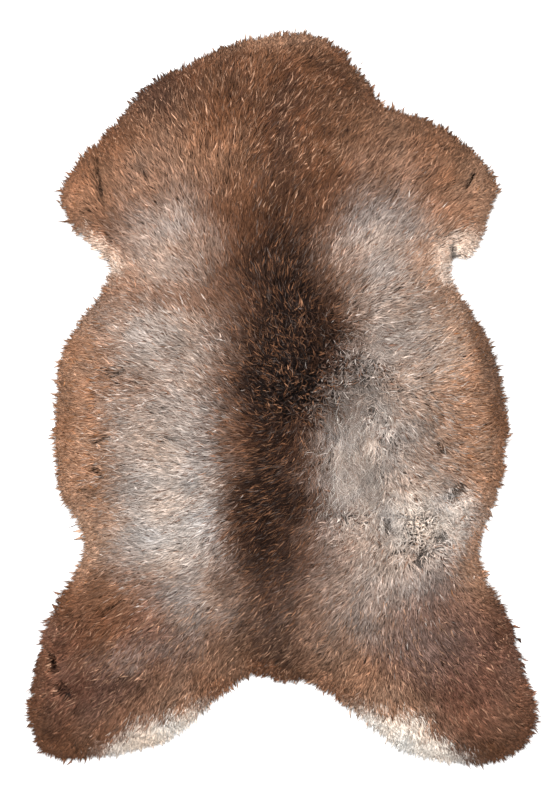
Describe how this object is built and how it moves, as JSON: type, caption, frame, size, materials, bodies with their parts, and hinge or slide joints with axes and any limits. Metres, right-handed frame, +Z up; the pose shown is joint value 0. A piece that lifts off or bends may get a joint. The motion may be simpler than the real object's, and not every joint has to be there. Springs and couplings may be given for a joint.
{
  "type": "sheepskin rug",
  "caption": "Brown sheepskin laid flat with its wool up: a thick lumpy fleece in the pelt's own outline with neck, forelegs and hind legs, a dark back and silver flanks.",
  "frame": {"origin": "middle of the flat underside, on the floor", "axes": "+Y along the spine towards the neck, +X towards the right flank seen from above, +Z up out of the wool"},
  "size_m": [0.7309, 1.0512, 0.0455],
  "materials": {
    "fleece": "long brown and silver wool",
    "hide": "tanned suede side of the skin"
  },
  "bodies": {
    "root": {"sheepskin": "fleece"}
  },
  "joints": []
}
